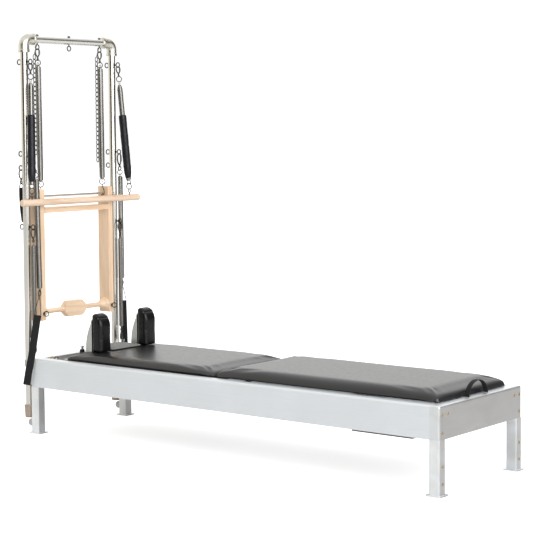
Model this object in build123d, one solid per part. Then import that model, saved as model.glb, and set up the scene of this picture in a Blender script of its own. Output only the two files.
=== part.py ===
from build123d import *
import os

# Pilates reformer with a tower and a half mat, built as an assembly of separate solids.
# Millimetres. +X runs from the tower (head end) to the foot end, +Y to the left, +Z up.
# The origin is on the floor, under the centre of the bounding box. "near" parts lie at -Y.

# ---- bed frame ----
FRAME_LENGTH = 2260
FRAME_WIDTH = 648
FRAME_TOP = 356
RAIL_HEIGHT = 134
RAIL_WIDTH = 50
RAIL_WALL = 3.5
END_RAIL_DEPTH = 45
RAIL_ROUND = 11
LEG_X = 49
LEG_Y = 44
FOOT_THICK = 6
FOOT_OVERHANG = 10
GAP = 0.4

# ---- tower ----
POST_STANDOFF = 35.5
POST_Y = 299
POST_RADIUS = 18
CAP_BOTTOM = 70
CAP_TOP = 130
CROSSBAR_Z = 1863
ELBOW_RADIUS = 25.5
ELBOW_BEND = 34
ELBOW_REACH = 62
EYE_RADIUS = 11.5
EYE_WIRE = 2.6
EYE_FRONT = 42
EYE_BACK = 33.9
ROLL_EYE_Z = 1755
ARM_EYE_Z = 1323
BACK_EYE_Z = 1256
LEG_EYE_Z = 977
HANGER_Y = 212

# ---- springs ----
COIL_RADIUS = 14.5
INNER_COIL_RADIUS = 15.5
LEG_COIL_RADIUS = 12
COIL_WALL = 1.6
HOOK_RADIUS = 3.5
SLEEVE_RADIUS = 19.5

# ---- push-through frame ----
PUSH_PIVOT_Z = 1120
PUSH_AXLE_RADIUS = 6
BOARD_THICK = 31
BOARD_DEPTH = 72
BOARD_INNER_Y = 219
BOARD_TOP = 1154
BOARD_BOTTOM = 527
PADDLE_Z = 566

# ---- roll-down bar ----
BAR_RADIUS = 16
BAR_HALF = 401
BAR_Z = 1095
BAR_HOOK_Y = 335

# ---- carriage and mat ----
PAD_HALF_WIDTH = 273
PAD_BOTTOM = FRAME_TOP + 1
CARRIAGE_PAD_TOP = 393
MAT_TOP = 404
DECK_HALF_WIDTH = 262
DECK_TOP = PAD_BOTTOM - GAP
DECK_THICK = 22
WHEEL_RADIUS = 22
TRACK_TOP = 268
TRACK_THICK = 5
TRACK_REACH = 34
SHOULDER_TOP = 576
SHOULDER_FRONT = 36
SHOULDER_HALF = 40
SHOULDER_ARCH = 50
HEADREST_THICK = 13
HANDLE_HALF = 75
HANDLE_RISE = 62
HANDLE_WIDTH = 21
WEBBING_THICK = 4

# ---- pulleys ----
PULLEY_Z = 332

# ---- transport wheels ----
ROLLER_RADIUS = 17
ROLLER_WIDTH = 14
ROLLER_Y = 302
ROLLER_Z = 47
ROLLER_SETBACK = 21
ROLLER_PIN = 3

# ---- places along X ----
REAR_REACH = POST_STANDOFF + EYE_BACK + EYE_RADIUS + EYE_WIRE
HEAD = REAR_REACH - (FRAME_LENGTH + FOOT_OVERHANG + REAR_REACH) / 2
FOOT = HEAD + FRAME_LENGTH
POST_X = HEAD - POST_STANDOFF
MIDDLE = HEAD + FRAME_LENGTH / 2
SIDE = FRAME_WIDTH / 2
RAIL_BOTTOM = FRAME_TOP - RAIL_HEIGHT
RAIL_INNER = SIDE - RAIL_WIDTH
PUSH_X = POST_X + 8
BOARD_X = POST_X + 4
BAR_X = POST_X + 76
CARRIAGE_HEAD = MIDDLE - 955
CARRIAGE_FOOT = MIDDLE - 52
MAT_HEAD = MIDDLE - 43
MAT_FOOT = MIDDLE + 1093
SHOULDER_X = MIDDLE - 828
SHOULDER_Y = 157

LOW = (Align.CENTER, Align.CENTER, Align.MIN)


def block(x, y, z):
    """A box from three (low, high) pairs."""
    centre = Pos((x[0] + x[1]) / 2, (y[0] + y[1]) / 2, (z[0] + z[1]) / 2)
    return centre * Box(x[1] - x[0], y[1] - y[0], z[1] - z[0])


def rod(start, end, radius):
    """A round bar from one point to another."""
    run = Vector(*end) - Vector(*start)
    return Plane(origin=start, z_dir=run.normalized()) * Cylinder(radius, run.length, align=LOW)


def tube(start, end, radius, wall):
    """A hollow round bar."""
    return rod(start, end, radius) - rod(start, end, radius - wall)


def ring(centre, normal, radius, wire):
    """A closed wire ring."""
    return Plane(origin=centre, z_dir=normal) * Torus(radius, wire)


def along(start, end, z):
    """The point at height z on the line through two points."""
    t = (start[2] - z) / (start[2] - end[2])
    return tuple(a + (b - a) * t for a, b in zip(start, end))


def save(name, *solids):
    """Write one node; several separate solids share a node as a group."""
    shape = solids[0] if len(solids) == 1 else Compound(children=list(solids))
    export_step(shape, f"parts/{name}.step")


def mirrored(pair):
    """A (low, high) pair on the other side of the XZ plane."""
    return (-pair[1], -pair[0])


# ---------------------------------------------------------------- bed frame

def side_rail(side):
    """Hollow side rail whose outer top edge is rounded."""
    y = (RAIL_INNER, SIDE) if side > 0 else mirrored((RAIL_INNER, SIDE))
    x = (HEAD + END_RAIL_DEPTH, FOOT - END_RAIL_DEPTH)
    rail = block(x, y, (RAIL_BOTTOM, FRAME_TOP))
    outer_top = rail.edges().filter_by(Axis.X).group_by(Axis.Z)[-1].sort_by(Axis.Y)[-1 if side > 0 else 0]
    rail = fillet(outer_top, RAIL_ROUND)
    hollow_y = (y[0] + RAIL_WALL, y[1] - RAIL_WALL)
    hollow_z = (RAIL_BOTTOM + RAIL_WALL, FRAME_TOP - RAIL_ROUND)
    return rail - block(x, hollow_y, hollow_z)


def end_rail(x, outer):
    """Full-width end rail with rounded outer corners and top edge."""
    rail = block(x, (-SIDE, SIDE), (RAIL_BOTTOM, FRAME_TOP))
    face = rail.faces().sort_by(Axis.X)[-1 if outer > 0 else 0]
    corners = face.edges().filter_by(Axis.Z)
    rail = fillet(corners, RAIL_ROUND)
    top = [e for e in rail.faces().sort_by(Axis.Z)[-1].edges()
           if (e.center().X - x[0 if outer > 0 else 1]) * outer > 1]
    rail = fillet(top, RAIL_ROUND - 3)
    inside_x = (x[0] + RAIL_WALL, x[1] - RAIL_WALL)
    inside = block(inside_x, (-SIDE + RAIL_ROUND, SIDE - RAIL_ROUND),
                   (RAIL_BOTTOM + RAIL_WALL, FRAME_TOP - RAIL_ROUND))
    return rail - inside


def track(side):
    """Ledge on the rail's inner face that the carriage wheels roll on."""
    inner = RAIL_INNER - GAP
    ledge_y = (inner - TRACK_REACH, inner)
    web_y = (inner - TRACK_THICK, inner)
    x = (HEAD + END_RAIL_DEPTH + GAP, FOOT - END_RAIL_DEPTH - GAP)
    if side < 0:
        ledge_y = mirrored(ledge_y)
        web_y = mirrored(web_y)
    ledge = block(x, ledge_y, (TRACK_TOP - TRACK_THICK, TRACK_TOP))
    web = block(x, web_y, (TRACK_TOP - 34, TRACK_TOP))
    return ledge + web


def leg(end, side):
    """Square leg with a flat foot plate."""
    x = (FOOT - LEG_X, FOOT) if end > 0 else (HEAD, HEAD + LEG_X)
    y = (SIDE - LEG_Y, SIDE) if side > 0 else (-SIDE, -SIDE + LEG_Y)
    post = block(x, y, (FOOT_THICK, RAIL_BOTTOM - GAP))
    post = fillet(post.edges().filter_by(Axis.Z), 5)
    bore_x = (x[0] + 5, x[1] - 5)
    bore_y = (y[0] + 5, y[1] - 5)
    post = post - block(bore_x, bore_y, (FOOT_THICK, RAIL_BOTTOM - 12))
    plate_x = (x[0] - FOOT_OVERHANG, x[1] + FOOT_OVERHANG)
    plate_y = (y[0] - FOOT_OVERHANG, y[1] + FOOT_OVERHANG)
    plate = block(plate_x, plate_y, (0, FOOT_THICK))
    plate = fillet(plate.edges().filter_by(Axis.Z), 9)
    return post + plate


def frame_screws():
    """Domed brass screws in the end rails and the legs."""
    screws = []
    foot_spots = [(303, 321), (262, 321), (303, 250), (302, 118), (302, 48)]
    head_spots = [(262, 321), (262, 250)]
    for outer, face, spots in ((1, FOOT, foot_spots), (-1, HEAD, head_spots)):
        for side in (-1, 1):
            for y, z in spots:
                place = Plane(origin=(face, side * y, z), z_dir=(outer, 0, 0))
                screws.append(place * Cylinder(6, 2.2, align=LOW))
    return screws


def cross_plate():
    """Flat plate under the side rails that ties them near the foot end."""
    return block((MIDDLE + 716, MIDDLE + 1004), (-SIDE + 4, SIDE - 4),
                 (RAIL_BOTTOM - GAP - 6, RAIL_BOTTOM - GAP))


def spring_bar():
    """Slotted bar across the frame that the carriage springs hook on."""
    bar = block((MIDDLE + 560, MIDDLE + 572), (-RAIL_INNER + GAP, RAIL_INNER - GAP), (272, 322))
    for index in range(-2, 3):
        y = index * 90
        bar = bar - block((MIDDLE + 555, MIDDLE + 577), (y - 9, y + 9), (300, 325))
    return bar


# ---------------------------------------------------------------- tower

def post(side):
    """Upright tube."""
    start = (POST_X, side * POST_Y, CAP_BOTTOM + 4)
    end = (POST_X, side * POST_Y, CROSSBAR_Z - ELBOW_REACH + 25)
    bar = tube(start, end, POST_RADIUS, 2.5)
    axle_bore = rod((PUSH_X, side * (POST_Y - 25), PUSH_PIVOT_Z),
                    (PUSH_X, side * (POST_Y + 8), PUSH_PIVOT_Z), PUSH_AXLE_RADIUS)
    return bar - axle_bore


def elbow(side):
    """Corner fitting: a bent socket over the post and the crossbar."""
    y = side * POST_Y
    bend_z = CROSSBAR_Z - ELBOW_BEND
    bend_y = y - side * ELBOW_BEND
    upright = rod((POST_X, y, CROSSBAR_Z - ELBOW_REACH), (POST_X, y, bend_z), ELBOW_RADIUS)
    level = rod((POST_X, bend_y, CROSSBAR_Z), (POST_X, y - side * ELBOW_REACH, CROSSBAR_Z), ELBOW_RADIUS)
    disc = Plane(origin=(POST_X, y, bend_z), z_dir=(0, 0, 1)) * Circle(ELBOW_RADIUS)
    corner = revolve(disc, Axis((POST_X, bend_y, bend_z), (side, 0, 0)), 90)
    down = rod((POST_X, y, CROSSBAR_Z - ELBOW_REACH - 1), (POST_X, y, CROSSBAR_Z - ELBOW_REACH + 25 + GAP),
               POST_RADIUS)
    across = rod((POST_X, y - side * (ELBOW_REACH + 1), CROSSBAR_Z),
                 (POST_X, y - side * (ELBOW_REACH - 25 - GAP), CROSSBAR_Z), POST_RADIUS)
    return upright + corner + level - down - across


def crossbar():
    """Top tube between the two elbows."""
    reach = POST_Y - ELBOW_REACH + 25
    return tube((POST_X, -reach, CROSSBAR_Z), (POST_X, reach, CROSSBAR_Z), POST_RADIUS - 0.6, 2.5)


def post_cap(side):
    """Tapered cap that closes a post's lower end."""
    place = Pos(POST_X, side * POST_Y, CAP_BOTTOM)
    height = CAP_TOP - CAP_BOTTOM
    body = place * Cone(POST_RADIUS + 4, POST_RADIUS + 8, height, align=LOW)
    hole = rod((POST_X, side * POST_Y, CAP_BOTTOM + 4), (POST_X, side * POST_Y, CAP_TOP + 1), POST_RADIUS)
    return body - hole


def post_bracket(side, z):
    """Strap bracket between the head rail's outer face and a post."""
    y = side * POST_Y
    pad = block((POST_X + 20, HEAD - GAP), (y - 15, y + 15), (z - 20, z + 20))
    collar = rod((POST_X, y, z - 14), (POST_X, y, z + 14), POST_RADIUS + 4)
    neck = block((POST_X + 10, POST_X + 22), (y - 12, y + 12), (z - 14, z + 14))
    return collar + neck + pad - rod((POST_X, y, z - 40), (POST_X, y, z + 40), POST_RADIUS)


def pulley_bracket(side):
    """Fork on the head rail's inner face that holds a pulley."""
    y = side * 242
    x = HEAD + END_RAIL_DEPTH
    low = PULLEY_Z - 20
    high = PULLEY_Z + 20
    fork = block((x + GAP, x + 48), (y - 15, y + 15), (low, low + 5))
    back = block((x + GAP, x + 5), (y - 15, y + 15), (low, high))
    top = block((x + GAP, x + 48), (y - 15, y + 15), (high - 5, high))
    pin = rod((x + 32, y, low + 5), (x + 32, y, high - 5), 4)
    return fork + back + top + pin


def pulley(side):
    """Grooved wheel on the bracket's pin."""
    x = HEAD + END_RAIL_DEPTH + 32
    wheel = Pos(x, side * 242, PULLEY_Z) * Cylinder(19, 20)
    groove = Pos(x, side * 242, PULLEY_Z) * Torus(21, 6)
    return wheel - groove - rod((x, side * 242, PULLEY_Z - 25), (x, side * 242, PULLEY_Z + 25), 4.06)


def roller_bracket(side):
    """Plate with two cheeks and a pin on a head-end leg, for a transport wheel."""
    y = side * ROLLER_Y
    x = HEAD - ROLLER_SETBACK
    plate = block((HEAD - GAP - 2, HEAD - GAP), (y - 13, y + 13), (ROLLER_Z - 16, ROLLER_Z + 16))
    cheeks = [block((x - 7, HEAD - GAP - 2), pair, (ROLLER_Z - 7, ROLLER_Z + 7))
              for pair in ((y - 11, y - 8.5), (y + 8.5, y + 11))]
    pin = rod((x, y - 11, ROLLER_Z), (x, y + 11, ROLLER_Z), ROLLER_PIN)
    return plate + cheeks[0] + cheeks[1] + pin


def transport_wheel(side):
    """Small wheel that the bed rolls on when its foot end is lifted."""
    x = HEAD - ROLLER_SETBACK
    y = side * ROLLER_Y
    wheel = rod((x, y - ROLLER_WIDTH / 2, ROLLER_Z), (x, y + ROLLER_WIDTH / 2, ROLLER_Z), ROLLER_RADIUS)
    wheel = fillet(wheel.edges().filter_by(GeomType.CIRCLE), 2)
    return wheel - rod((x, y - 20, ROLLER_Z), (x, y + 20, ROLLER_Z), ROLLER_PIN + 0.06)


def tower_eyebolts():
    """Eyebolts through the posts, an eye on each side, and three under the crossbar."""
    bolts = []
    front = POST_X + EYE_FRONT
    back = POST_X - EYE_BACK
    for side in (-1, 1):
        y = side * POST_Y
        for z in (ROLL_EYE_Z, ARM_EYE_Z, LEG_EYE_Z):
            bolts.append(ring((front, y, z), (0, 1, 0), EYE_RADIUS, EYE_WIRE)
                         + rod((POST_X + POST_RADIUS, y, z), (front - EYE_RADIUS, y, z), 3))
        for z in (ROLL_EYE_Z, ARM_EYE_Z, BACK_EYE_Z, LEG_EYE_Z):
            bolts.append(ring((back, y, z), (0, 1, 0), EYE_RADIUS, EYE_WIRE)
                         + rod((POST_X - POST_RADIUS, y, z), (back + EYE_RADIUS, y, z), 3))
    for y in (-HANGER_Y, 0, HANGER_Y):
        under = CROSSBAR_Z - POST_RADIUS
        centre = under - 6 - EYE_RADIUS
        bolts.append(ring((POST_X, y, centre), (1, 0, 0), EYE_RADIUS, EYE_WIRE)
                     + rod((POST_X, y, centre + EYE_RADIUS), (POST_X, y, under + 0.6), 3))
        bolts.append(rod((POST_X, y, CROSSBAR_Z + POST_RADIUS - 0.6),
                         (POST_X, y, CROSSBAR_Z + POST_RADIUS + 6), 6))
    return bolts


def push_axle():
    """Steel rod between the posts that the push-through frame turns on."""
    reach = POST_Y - 8
    return rod((PUSH_X, -reach, PUSH_PIVOT_Z), (PUSH_X, reach, PUSH_PIVOT_Z), PUSH_AXLE_RADIUS - 0.1)


# ---------------------------------------------------------------- hanging springs

def spring(top_hook, top, bottom, bottom_hook, radius=COIL_RADIUS):
    """A coil's outer shape with a straight hook at each end."""
    coil = tube(top, bottom, radius, COIL_WALL)
    caps = rod(top, along(top, bottom, top[2] - 4), radius) + rod(along(top, bottom, bottom[2] + 4), bottom, radius)
    return coil + caps + rod(top_hook, top, HOOK_RADIUS) + rod(bottom, bottom_hook, HOOK_RADIUS)


def inner_spring(side):
    """Spring from the crossbar down to the push frame's axle."""
    y = side * HANGER_Y
    hook_top = (POST_X + 1, y, CROSSBAR_Z - 60)
    return spring(hook_top, (POST_X + 3, y, 1735), (POST_X + 7, y, 1190), (POST_X + 8, y, 1128),
                  INNER_COIL_RADIUS)


def chain(side, bottom):
    """Chain that hangs free behind an inner spring."""
    y = side * HANGER_Y
    return rod((POST_X - 21, y, 1790), (POST_X - 21, y, bottom), 4)


def back_strap():
    """Webbing that hangs behind the near post."""
    x = POST_X - EYE_BACK
    hook = rod((x, -POST_Y, 1236), (x, -POST_Y, 1180), HOOK_RADIUS)
    web = block((x - 3, x + 3), (-POST_Y - 13, -POST_Y + 13), (998, 1165))
    return [hook, web]


ARM_TOP = {-1: (POST_X + 38, -269, 1204), 1: (POST_X + 26, 322, 1203)}
ARM_BOTTOM = {-1: (POST_X + 53, -273, 684), 1: (POST_X + 28, 324, 686)}
STRAP_TOP = {-1: (POST_X + 68, -304, 560), 1: (POST_X + 36, 321, 574)}
STRAP_WIDTH = 35
STRAP_THICK = 3
STRAP_FACE = Vector(0.62, -0.784, 0)
STRAP_RUN = Vector(0.784, 0.62, 0)


def arm_spring(side):
    """Upper hanging spring of a post, between its eyebolt and the arm strap."""
    eye = (POST_X + EYE_FRONT, side * POST_Y, ARM_EYE_Z - EYE_RADIUS - EYE_WIRE - GAP)
    end = along(ARM_BOTTOM[side], STRAP_TOP[side], 640)
    return spring(eye, ARM_TOP[side], ARM_BOTTOM[side], end)


def strap_section(centre):
    """Cross-section of the webbing at one height, as four corners."""
    half = STRAP_RUN * (STRAP_WIDTH / 2)
    thick = STRAP_FACE * (STRAP_THICK / 2)
    c = Vector(*centre)
    return [c - half - thick, c + half - thick, c + half + thick, c - half + thick]


def strap(centres):
    """Flat webbing through a list of centres, one straight run between each two."""
    sections = [Face(Wire.make_polygon(strap_section(c), close=True)) for c in centres]
    return Solid.make_loft([s.outer_wire() for s in sections], ruled=True)


def arm_strap(side):
    """Webbing loop on an arm spring; it hangs down outside the frame's corner."""
    top = STRAP_TOP[side]
    link = rod(along(ARM_BOTTOM[side], top, 639), (top[0], top[1], top[2] - 2), 3)
    if side < 0:
        run = [top, (POST_X + 57, -338, 364), (POST_X + 29, -345, 230)]
    else:
        run = [top, (POST_X + 34, 328, 421), (POST_X + 24, 340, 364), (POST_X + 20, 342, 230)]
    return link + strap(run)


def leg_spring(side):
    """Lower hanging spring of a post."""
    x = POST_X + EYE_FRONT
    y = side * POST_Y
    eye = (x, y, LEG_EYE_Z - EYE_RADIUS - EYE_WIRE - GAP)
    return spring(eye, (x, y, 890), (x, y, 440), (x, y, 434), LEG_COIL_RADIUS)


def leg_hook(side):
    """Snap hook at the lower end of a leg spring."""
    x = POST_X + EYE_FRONT
    y = side * POST_Y
    eye = ring((x, y, 424), (1, 0, 0), 6.5, 2.2)
    body = block((x - 4, x + 4), (y - 7, y + 7), (378, 417.5))
    return eye + fillet(body.edges().filter_by(Axis.X), 5)


# ---------------------------------------------------------------- roll-down bar

ROLL_EYE = (POST_X + EYE_FRONT, POST_Y, ROLL_EYE_Z - EYE_RADIUS - EYE_WIRE - GAP)
ROLL_END = (BAR_X, BAR_HOOK_Y, BAR_Z + BAR_RADIUS + 28)


def roll_spring(side):
    """Spring of the roll-down bar, its lower part in a padded sleeve."""
    start = (ROLL_EYE[0], side * ROLL_EYE[1], ROLL_EYE[2])
    end = (ROLL_END[0], side * ROLL_END[1], ROLL_END[2])
    coil = spring(start, along(start, end, 1655), along(start, end, 1165), end)
    sleeve = rod(along(start, end, 1506), along(start, end, 1194), SLEEVE_RADIUS)
    return coil + sleeve


def roll_bar():
    """Round hardwood bar."""
    bar = rod((BAR_X, -BAR_HALF, BAR_Z), (BAR_X, BAR_HALF, BAR_Z), BAR_RADIUS)
    return fillet(bar.edges().filter_by(GeomType.CIRCLE), 5)


def roll_bar_hook(side):
    """Eye screw in the top of the bar with the spring's end ring."""
    y = side * BAR_HOOK_Y
    stem = rod((BAR_X, y, BAR_Z + BAR_RADIUS), (BAR_X, y, BAR_Z + BAR_RADIUS + 8), 2.5)
    return stem + ring((BAR_X, y, BAR_Z + BAR_RADIUS + 16), (1, 0, 0), 9, 2.2)


# ---------------------------------------------------------------- push-through frame

def push_board(side):
    """Upright board of the swinging frame, bored for the axle."""
    y = (BOARD_INNER_Y, BOARD_INNER_Y + BOARD_THICK)
    if side < 0:
        y = mirrored(y)
    x = (BOARD_X - BOARD_DEPTH / 2, BOARD_X + BOARD_DEPTH / 2)
    board = block(x, y, (BOARD_BOTTOM, BOARD_TOP))
    board = fillet(board.edges(), 3)
    reach = BOARD_INNER_Y + BOARD_THICK + 5
    bore = rod((PUSH_X, -reach, PUSH_PIVOT_Z), (PUSH_X, reach, PUSH_PIVOT_Z), PUSH_AXLE_RADIUS)
    return board - bore


def push_cross_board():
    """Flat board that ties the two uprights below the axle."""
    inner = BOARD_INNER_Y - GAP / 4
    x = (BOARD_X - BOARD_DEPTH / 2, BOARD_X + BOARD_DEPTH / 2)
    board = block(x, (-inner, inner), (1040, 1066))
    return fillet(board.edges().filter_by(Axis.Y), 2.5)


def push_dowel():
    """Bottom dowel with an eight-sided paddle and a flared block at each board."""
    dowel = rod((BOARD_X, -BOARD_INNER_Y + 0.1, PADDLE_Z), (BOARD_X, BOARD_INNER_Y - 0.1, PADDLE_Z), 12)
    half = 72
    rise = 38
    cut = 24
    outline = [(-half, -rise + cut), (-half + cut, -rise), (half - cut, -rise), (half, -rise + cut),
               (half, rise - cut), (half - cut, rise), (-half + cut, rise), (-half, rise - cut)]
    paddle = Plane.YZ.offset(BOARD_X - 17) * extrude(Polygon(*outline, align=None), 34)
    paddle = Pos(0, 0, PADDLE_Z) * paddle
    paddle = fillet(paddle.edges().filter_by(Axis.X), 4)
    flares = []
    for side in (-1, 1):
        base = Plane(origin=(BOARD_X, side * (BOARD_INNER_Y - 0.1), PADDLE_Z), z_dir=(0, -side, 0))
        flares.append(base * Cone(34, 13, 38, align=LOW))
    return dowel + paddle + flares[0] + flares[1]


# ---------------------------------------------------------------- carriage

def carriage_deck():
    """Board under the carriage pad with lugs for the wheel axles."""
    x = (CARRIAGE_HEAD - 24, CARRIAGE_FOOT - 6)
    deck = block(x, (-DECK_HALF_WIDTH, DECK_HALF_WIDTH), (DECK_TOP - DECK_THICK, DECK_TOP))
    for wheel_x in WHEEL_X:
        for side in (-1, 1):
            y = side * 226
            lug = block((wheel_x - 14, wheel_x + 14), (y - 4, y + 4),
                        (TRACK_TOP + WHEEL_RADIUS - 12, DECK_TOP - DECK_THICK))
            deck = deck + lug
    for wheel_x in WHEEL_X:
        height = TRACK_TOP + WHEEL_RADIUS + 0.3
        deck = deck - rod((wheel_x, -235, height), (wheel_x, 235, height), 5.06)
    for side in (-1, 1):
        deck = deck - shoulder_pins(side, 0.1)
    return deck


WHEEL_X = (CARRIAGE_HEAD + 60, CARRIAGE_FOOT - 70)


def wheelset(wheel_x):
    """Axle with a wheel at each end, resting on the two tracks."""
    z = TRACK_TOP + WHEEL_RADIUS + 0.3
    shaft = rod((wheel_x, -262, z), (wheel_x, 262, z), 5)
    wheels = [rod((wheel_x, side * 243, z), (wheel_x, side * 261, z), WHEEL_RADIUS) for side in (-1, 1)]
    return shaft + wheels[0] + wheels[1]


def pad(x, z, hole_sides=()):
    """Flat cushion with rounded upper edges."""
    cushion = block(x, (-PAD_HALF_WIDTH, PAD_HALF_WIDTH), z)
    cushion = fillet(cushion.edges().filter_by(Axis.Z), 20)
    cushion = fillet(cushion.faces().sort_by(Axis.Z)[-1].edges(), 17)
    for side in hole_sides:
        cushion = cushion - shoulder_pins(side, 0.1)
    return cushion


def carriage_springs():
    """Four springs stored under the carriage on its foot-end side."""
    springs = []
    for index in range(4):
        y = -120 + index * 80
        z = DECK_TOP - DECK_THICK - 16
        springs.append(tube((CARRIAGE_FOOT - 560, y, z), (CARRIAGE_FOOT - 110, y, z), 15, 3))
    return springs


def peg(side):
    """Chrome peg on the deck that a pulley strap loops over."""
    x = CARRIAGE_HEAD - 13
    body = rod((x, side * 141, DECK_TOP), (x, side * 141, DECK_TOP + 50), 7)
    return body + rod((x, side * 141, DECK_TOP + 46), (x, side * 141, DECK_TOP + 54), 9)


def peg_loop(side):
    """Leather loop around a peg."""
    x = CARRIAGE_HEAD - 13
    band = rod((x, side * 141, DECK_TOP + 10), (x, side * 141, DECK_TOP + 36), 13)
    return band - rod((x, side * 141, DECK_TOP), (x, side * 141, DECK_TOP + 60), 7.4)


def headrest():
    """Hinged pad between the shoulder rests."""
    x = (MIDDLE - 950, MIDDLE - 803)
    z = (CARRIAGE_PAD_TOP + 2, CARRIAGE_PAD_TOP + 2 + HEADREST_THICK)
    board = block(x, (-104, 104), z)
    board = fillet(board.edges().filter_by(Axis.Z), 18)
    return fillet(board.faces().sort_by(Axis.Z)[-1].edges(), 6)


def shoulder_pins(side, clearance):
    """Two pins that hold a shoulder rest in the carriage."""
    x = SHOULDER_X - 42
    y = side * SHOULDER_Y
    low = DECK_TOP - DECK_THICK
    high = CARRIAGE_PAD_TOP + 3
    pair = [rod((x, y + step, low), (x, y + step, high), 6 + clearance) for step in (-24, 24)]
    return pair[0] + pair[1]


def shoulder_bracket(side):
    """Upright plate with a curved gusset, a base and two pins."""
    y = side * SHOULDER_Y
    base_z = CARRIAGE_PAD_TOP + 1
    plate_x = (SHOULDER_X - 34, SHOULDER_X - 28)
    plate = block(plate_x, (y - 33, y + 33), (base_z, SHOULDER_TOP - 26))
    plate = fillet(plate.edges().filter_by(Axis.X).group_by(Axis.Z)[-1], 20)
    base = block((SHOULDER_X - 70, SHOULDER_X - 28), (y - 33, y + 33), (base_z, base_z + 6))
    ribs = []
    for step in (-30, 27):
        low = (SHOULDER_X - 70, base_z + 6)
        high = (SHOULDER_X - 34, SHOULDER_TOP - 46)
        corner = (SHOULDER_X - 34, base_z + 6)
        curve = ThreePointArc(high, (SHOULDER_X - 58, base_z + 84), low)
        outline = Curve() + [curve, Line(low, corner), Line(corner, high)]
        rib = extrude(Plane.XZ.offset(-(y + step)) * make_face(outline), -3)
        ribs.append(rib)
    return plate + base + ribs[0] + ribs[1] + shoulder_pins(side, 0)


def shoulder_pad(side):
    """Upright padded block whose top rolls over towards the foot end."""
    back = SHOULDER_X - 28 + GAP
    front = SHOULDER_X + SHOULDER_FRONT
    low = CARRIAGE_PAD_TOP + 2
    body = block((back, front), (side * SHOULDER_Y - SHOULDER_HALF, side * SHOULDER_Y + SHOULDER_HALF),
                 (low, SHOULDER_TOP))
    top_edges = body.edges().filter_by(Axis.Y).group_by(Axis.Z)[-1].sort_by(Axis.X)
    body = fillet(top_edges[-1], SHOULDER_ARCH)
    rear = body.edges().filter_by(Axis.Y).sort_by(Axis.X)[:2].sort_by(Axis.Z)[-1]
    body = fillet(rear, 8)
    sides = [body.faces().sort_by(Axis.Y)[0], body.faces().sort_by(Axis.Y)[-1]]
    outline = [e for face in sides for e in face.edges() if e.center().Z > low + 1]
    return fillet(outline, 7)


# ---------------------------------------------------------------- mat and footbar

def half_ellipse(half, rise, x, width):
    """A solid half ellipse that stands on the height of the mat's lower edge."""
    arch = Plane.YZ.offset(x) * extrude(Ellipse(half, rise), width)
    arch = Pos(0, 0, PAD_BOTTOM + 1) * arch
    return arch - block((x - 1, x + width + 1), (-half - 1, half + 1), (PAD_BOTTOM - rise, PAD_BOTTOM + 1))


def mat_handle():
    """Webbing handle that stands as an arch at the mat's foot-end face."""
    x = MAT_FOOT + GAP
    outer = half_ellipse(HANDLE_HALF, HANDLE_RISE, x, HANDLE_WIDTH)
    return outer - half_ellipse(HANDLE_HALF - WEBBING_THICK, HANDLE_RISE - WEBBING_THICK, x - 1, HANDLE_WIDTH + 2)


def footbar():
    """Foot bar folded flat inside the frame."""
    z = 306
    pivot = MIDDLE + 700
    bar_x = MIDDLE + 1010
    cross = rod((bar_x, -205, z), (bar_x, 205, z), 16)
    solid = cross
    for side in (-1, 1):
        arm = rod((pivot, side * 205, z - 10), (bar_x, side * 205, z), 11)
        knob = rod((pivot, side * 190, z - 10), (pivot, side * 266, z - 10), 9)
        solid = solid + arm + knob + Pos(bar_x, side * 205, z) * Sphere(16)
    return solid


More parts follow.
